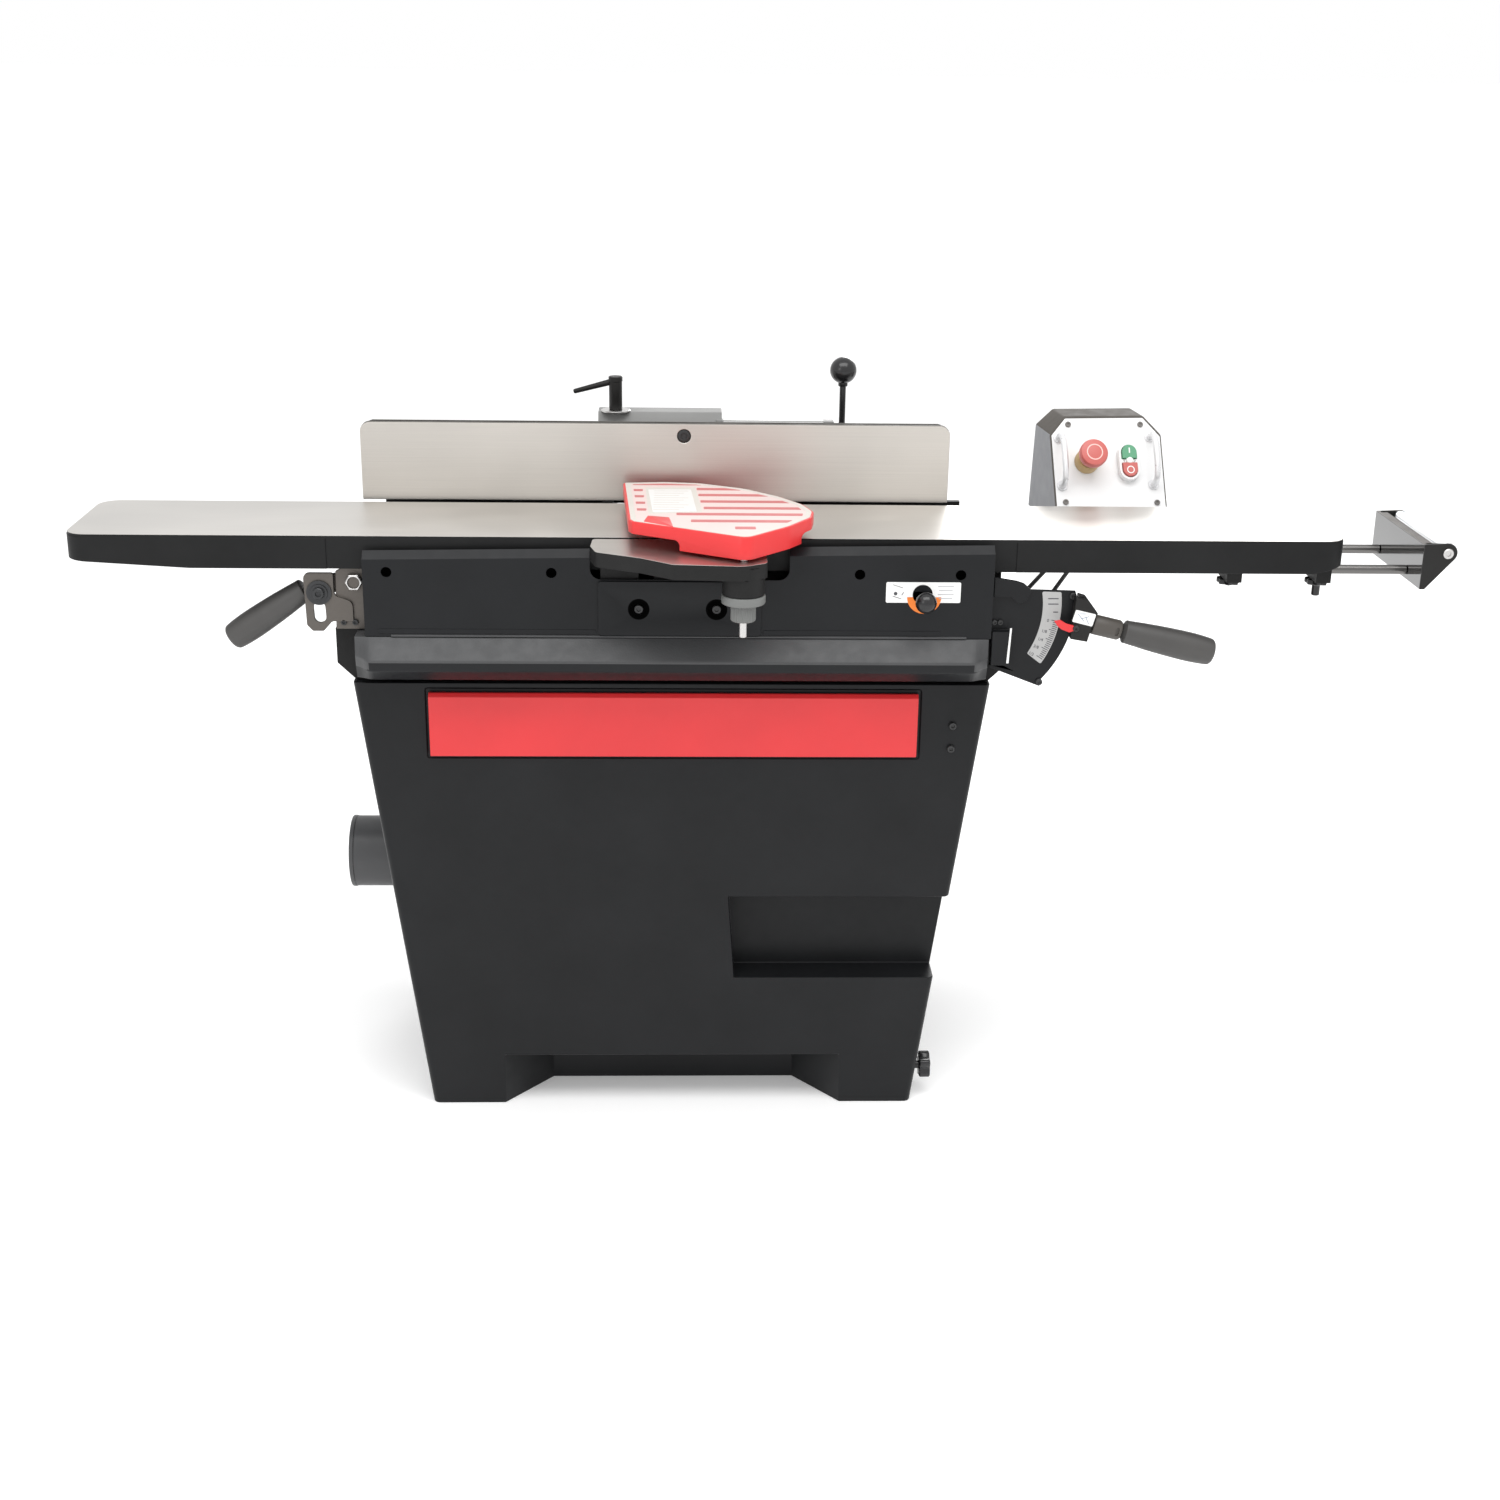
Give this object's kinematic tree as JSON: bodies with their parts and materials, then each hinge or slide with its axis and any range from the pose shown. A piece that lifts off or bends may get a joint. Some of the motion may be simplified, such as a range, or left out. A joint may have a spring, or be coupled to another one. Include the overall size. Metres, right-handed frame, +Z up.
{
  "type": "jointer",
  "caption": "Parallelogram jointer on a sheet metal cabinet: ground tables, cutterhead under a swinging guard, tilting fence, depth levers, roller extension and switch console.",
  "frame": {"origin": "centre of the bounding box on the floor", "axes": "+X to the infeed end along the tables, +Y to the fence side, +Z up"},
  "size_m": [1.8184, 0.5784, 1.023],
  "materials": {
    "black_paint": "satin powder coat",
    "panel_paint": "satin powder coat",
    "red_paint": "satin paint",
    "port_plastic": "matte",
    "chute_paint": "satin",
    "cast_black": "painted black",
    "grey_texture": "wrinkle texture",
    "cover_paint": "satin powder coat",
    "plate_paint": "satin powder coat",
    "ledge_iron": "ground top, black sides",
    "cap_grey": "matte",
    "motor_paint": "painted",
    "stand_paint": "satin",
    "belt_rubber": "matte",
    "guard_sheet": "satin",
    "scale_paint": "satin, light scale label",
    "zinc": "zinc plated",
    "arm_paint": "satin",
    "console_grey": "satin grey",
    "console_white": "satin white",
    "handle_silver": "satin",
    "yellow_plastic": "gloss",
    "switch_white": "gloss",
    "grip": "soft matte",
    "pointer_red": "gloss",
    "ground_iron": "ground top",
    "clamp_black": "painted",
    "bright_steel": "machined",
    "pulley": "machined",
    "guard_red": "painted casting, gloss red",
    "fence_iron": "ground face",
    "black_plastic": "gloss ball on steel rod",
    "frame_paint": "satin frame, steel rods",
    "roller": "machined",
    "red_plastic": "gloss",
    "green_plastic": "gloss"
  },
  "bodies": {
    "stand": {"cabinet": "black_paint", "cabinet_rear_panel": "panel_paint", "accent_panel": "red_paint", "dust_port": "port_plastic", "chip_chute": "chute_paint", "base_casting": "cast_black", "base_bezel": "grey_texture", "front_cover": "cover_paint", "centre_plate": "plate_paint", "rabbet_ledge": "ledge_iron", "guard_spring_cap": "cap_grey", "bearing_front": "cast_black", "bearing_rear": "cast_black", "motor": "motor_paint", "motor_stand": "stand_paint", "drive_belt": "belt_rubber", "belt_guard": "guard_sheet", "depth_scale": "scale_paint", "outfeed_bracket": "zinc", "fence_support": "cast_black", "console_arm": "arm_paint", "console_housing": "console_grey", "console_face": "console_white", "console_handle_left": "handle_silver", "console_handle_right": "handle_silver", "estop_collar": "yellow_plastic", "switch_body": "switch_white"},
    "infeed_link": {"infeed_link": "zinc", "infeed_grip": "grip", "infeed_pointer": "pointer_red"},
    "infeed_second_link": {"infeed_second_link": "zinc"},
    "infeed_table": {"infeed_table": "ground_iron", "extension_clamp_1": "clamp_black", "extension_clamp_2": "clamp_black"},
    "outfeed_link": {"outfeed_link": "zinc", "outfeed_grip": "grip"},
    "outfeed_second_link": {"outfeed_second_link": "zinc"},
    "outfeed_table": {"outfeed_table": "ground_iron"},
    "cutterhead": {"cutterhead": "bright_steel", "cutterhead_pulley": "pulley"},
    "motor_rotor": {"motor_shaft": "bright_steel", "motor_pulley": "pulley"},
    "guard": {"guard": "guard_red", "guard_post": "bright_steel"},
    "guard_knob": {"guard_tension_knob": "cap_grey"},
    "fence_carriage": {"fence_carriage": "cast_black"},
    "fence": {"fence": "fence_iron", "fence_tilt_bracket": "cast_black"},
    "fence_lock": {"fence_lock_lever": "bright_steel"},
    "tilt_lock": {"tilt_lock_lever": "black_plastic"},
    "depth_stop": {"depth_stop_knob": "black_plastic"},
    "cabinet_knob": {"cabinet_knob": "black_plastic"},
    "roller_extension": {"extension_frame": "frame_paint"},
    "extension_roller": {"extension_roller": "roller"},
    "extension_screw_1": {"extension_screw_1": "black_plastic"},
    "extension_screw_2": {"extension_screw_2": "black_plastic"},
    "estop": {"estop_button": "red_plastic"},
    "start_button": {"start_button": "green_plastic"},
    "stop_button": {"stop_button": "red_plastic"}
  },
  "joints": [
    {"name": "infeed_lever", "type": "hinge", "parent": "stand", "child": "infeed_link", "pos_m": [0.24679, -0.0521, 0.758], "axis": [0, 1, 0], "range_deg": [0, 24]},
    {"name": "infeed_table_pivot", "type": "hinge", "parent": "infeed_link", "child": "infeed_table", "pos_m": [0.27032, -0.0521, 0.79423], "axis": [0, 1, 0], "range_deg": [-24.5, 0.5]},
    {"name": "infeed_second_pivot", "type": "hinge", "parent": "stand", "child": "infeed_second_link", "pos_m": [0.01179, -0.0521, 0.758], "axis": [0, 1, 0], "range_deg": [-0.5, 24.5]},
    {"name": "outfeed_lever", "type": "hinge", "parent": "stand", "child": "outfeed_link", "pos_m": [-0.53821, -0.0521, 0.775], "axis": [0, -1, 0], "range_deg": [-3, 9]},
    {"name": "outfeed_table_pivot", "type": "hinge", "parent": "outfeed_link", "child": "outfeed_table", "pos_m": [-0.57562, -0.0521, 0.7966], "axis": [0, -1, 0], "range_deg": [-9.5, 3.5]},
    {"name": "outfeed_second_pivot", "type": "hinge", "parent": "stand", "child": "outfeed_second_link", "pos_m": [-0.27821, -0.0521, 0.775], "axis": [0, -1, 0], "range_deg": [-3.5, 9.5]},
    {"name": "cutterhead_spin", "type": "hinge", "parent": "stand", "child": "cutterhead", "pos_m": [-0.12121, -0.0571, 0.802], "axis": [0, 1, 0], "continuous": true},
    {"name": "motor_spin", "type": "hinge", "parent": "stand", "child": "motor_rotor", "pos_m": [-0.12121, 0.0529, 0.4], "axis": [0, 1, 0], "continuous": true},
    {"name": "guard_swing", "type": "hinge", "parent": "stand", "child": "guard", "pos_m": [-0.03271, -0.2601, 0.85], "axis": [0, 0, 1], "range_deg": [0, 55], "stiffness_Nm_per_rad": 1.2, "springref_deg": -20.05},
    {"name": "guard_tension", "type": "hinge", "parent": "guard", "child": "guard_knob", "pos_m": [-0.03271, -0.2601, 0.77], "axis": [0, 0, 1], "range_deg": [-180, 180]},
    {"name": "fence_slide", "type": "slide", "parent": "stand", "child": "fence_carriage", "axis": [0, -1, 0], "range_m": [0, 0.017]},
    {"name": "fence_tilt", "type": "hinge", "parent": "fence_carriage", "child": "fence", "pos_m": [-0.13121, 0.0799, 0.844], "axis": [1, 0, 0], "range_deg": [-45, 35]},
    {"name": "fence_lock_turn", "type": "hinge", "parent": "fence_carriage", "child": "fence_lock", "pos_m": [-0.20521, 0.1829, 0.95], "axis": [0, 0, 1], "range_deg": [-60, 60]},
    {"name": "tilt_lock_turn", "type": "hinge", "parent": "fence_carriage", "child": "tilt_lock", "pos_m": [0.11979, 0.1829, 0.912], "axis": [1, 0, 0], "range_deg": [-30, 40]},
    {"name": "depth_stop_pull", "type": "slide", "parent": "stand", "child": "depth_stop", "axis": [0, -1, 0], "range_m": [0, 0.01], "stiffness_N_per_m": 400, "springref_m": -0.004},
    {"name": "cabinet_knob_turn", "type": "hinge", "parent": "stand", "child": "cabinet_knob", "pos_m": [0.24479, -0.1021, 0.0446], "axis": [1, 0, 0], "continuous": true},
    {"name": "extension_slide", "type": "slide", "parent": "infeed_table", "child": "roller_extension", "axis": [1, 0, 0], "range_m": [-0.085, 0.125]},
    {"name": "extension_roller_spin", "type": "hinge", "parent": "roller_extension", "child": "extension_roller", "pos_m": [0.89629, -0.0571, 0.8255], "axis": [0, 1, 0], "continuous": true},
    {"name": "extension_screw_1_turn", "type": "hinge", "parent": "infeed_table", "child": "extension_screw_1", "pos_m": [0.62429, -0.1001, 0.77], "axis": [0, 0, 1], "range_deg": [-180, 180]},
    {"name": "extension_screw_2_turn", "type": "hinge", "parent": "infeed_table", "child": "extension_screw_2", "pos_m": [0.74399, -0.1001, 0.77], "axis": [0, 0, 1], "range_deg": [-180, 180]},
    {"name": "estop_press", "type": "slide", "parent": "stand", "child": "estop", "axis": [-0.077, 0.8626, -0.5], "range_m": [0, 0.004], "stiffness_N_per_m": 600, "springref_m": -0.001},
    {"name": "start_press", "type": "slide", "parent": "stand", "child": "start_button", "axis": [-0.077, 0.8626, -0.5], "range_m": [0, 0.002], "stiffness_N_per_m": 400, "springref_m": -0.001},
    {"name": "stop_press", "type": "slide", "parent": "stand", "child": "stop_button", "axis": [-0.077, 0.8626, -0.5], "range_m": [0, 0.002], "stiffness_N_per_m": 400, "springref_m": -0.001}
  ],
  "couplings": [
    {"joint": "infeed_table_pivot", "follows": "infeed_lever", "ratio": -1},
    {"joint": "infeed_second_pivot", "follows": "infeed_lever", "ratio": 1},
    {"joint": "outfeed_table_pivot", "follows": "outfeed_lever", "ratio": -1},
    {"joint": "outfeed_second_pivot", "follows": "outfeed_lever", "ratio": 1},
    {"joint": "motor_spin", "follows": "cutterhead_spin", "ratio": 0.44186}
  ]
}
